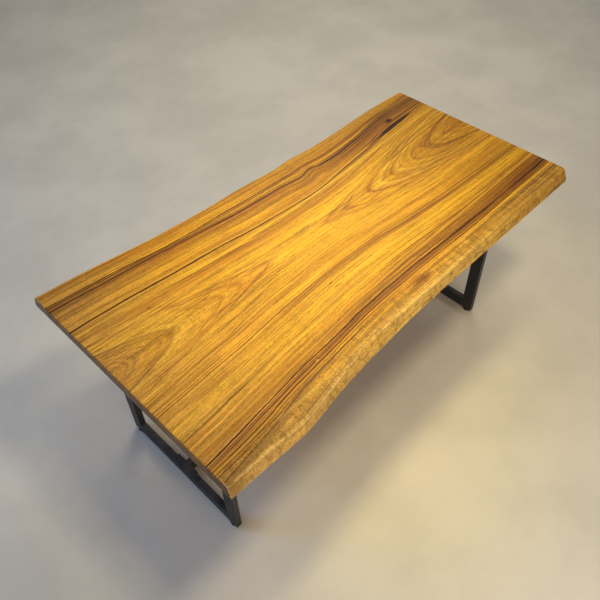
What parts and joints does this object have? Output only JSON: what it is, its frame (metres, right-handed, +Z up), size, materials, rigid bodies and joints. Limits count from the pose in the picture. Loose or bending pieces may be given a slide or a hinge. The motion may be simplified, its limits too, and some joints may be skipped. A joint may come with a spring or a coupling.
{
  "type": "live edge dining table",
  "caption": "Long dining table with a solid natural-edge hardwood slab on two black rectangular steel tube frames joined by a low stretcher, with screw-in levelling feet.",
  "frame": {"origin": "on the floor, under the middle of the table's bounding box", "axes": "+X along the slab from its wide end to its narrow end, +Y from the front edge to the back edge, +Z up"},
  "size_m": [1.8, 0.9904, 0.72],
  "materials": {
    "slab_wood": "satin oiled and lacquered hardwood, golden brown with dark streaks and pale sapwood",
    "dark_resin": "clear-coated dark resin, flush with the wood",
    "black_powder_coat": "fine-textured matt black powder coat",
    "zinc_plated_steel": "bright zinc plate",
    "black_nylon": "moulded black nylon"
  },
  "bodies": {
    "table": {"slab": "slab_wood", "crack_fill": "dark_resin", "knot_fill": "dark_resin", "stiffener_wide_end": "black_powder_coat", "stiffener_middle": "black_powder_coat", "stiffener_narrow_end": "black_powder_coat", "stiffener_screws": "zinc_plated_steel", "slab_inserts": "zinc_plated_steel", "wide_end_front_post": "black_powder_coat", "wide_end_back_post": "black_powder_coat", "wide_end_bottom_rail": "black_powder_coat", "wide_end_top_rail": "black_powder_coat", "wide_end_mounting_plate": "black_powder_coat", "narrow_end_front_post": "black_powder_coat", "narrow_end_back_post": "black_powder_coat", "narrow_end_bottom_rail": "black_powder_coat", "narrow_end_top_rail": "black_powder_coat", "narrow_end_mounting_plate": "black_powder_coat", "mounting_washers": "zinc_plated_steel", "mounting_bolts": "zinc_plated_steel", "stretcher": "black_powder_coat", "stretcher_wide_end_plate": "black_powder_coat", "stretcher_narrow_end_plate": "black_powder_coat", "stretcher_washers": "zinc_plated_steel", "stretcher_bolts": "zinc_plated_steel", "stretcher_nuts": "zinc_plated_steel", "leveller_nuts": "zinc_plated_steel"},
    "leveller_wide_end_front": {"leveller_stud_wide_end_front": "zinc_plated_steel", "leveller_pad_wide_end_front": "black_nylon"},
    "leveller_wide_end_back": {"leveller_stud_wide_end_back": "zinc_plated_steel", "leveller_pad_wide_end_back": "black_nylon"},
    "leveller_narrow_end_front": {"leveller_stud_narrow_end_front": "zinc_plated_steel", "leveller_pad_narrow_end_front": "black_nylon"},
    "leveller_narrow_end_back": {"leveller_stud_narrow_end_back": "zinc_plated_steel", "leveller_pad_narrow_end_back": "black_nylon"}
  },
  "joints": [
    {"name": "leveller_wide_end_front_travel", "type": "slide", "parent": "table", "child": "leveller_wide_end_front", "axis": [0, 0, -1], "range_m": [0, 0.015]},
    {"name": "leveller_wide_end_back_travel", "type": "slide", "parent": "table", "child": "leveller_wide_end_back", "axis": [0, 0, -1], "range_m": [0, 0.015]},
    {"name": "leveller_narrow_end_front_travel", "type": "slide", "parent": "table", "child": "leveller_narrow_end_front", "axis": [0, 0, -1], "range_m": [0, 0.015]},
    {"name": "leveller_narrow_end_back_travel", "type": "slide", "parent": "table", "child": "leveller_narrow_end_back", "axis": [0, 0, -1], "range_m": [0, 0.015]}
  ]
}
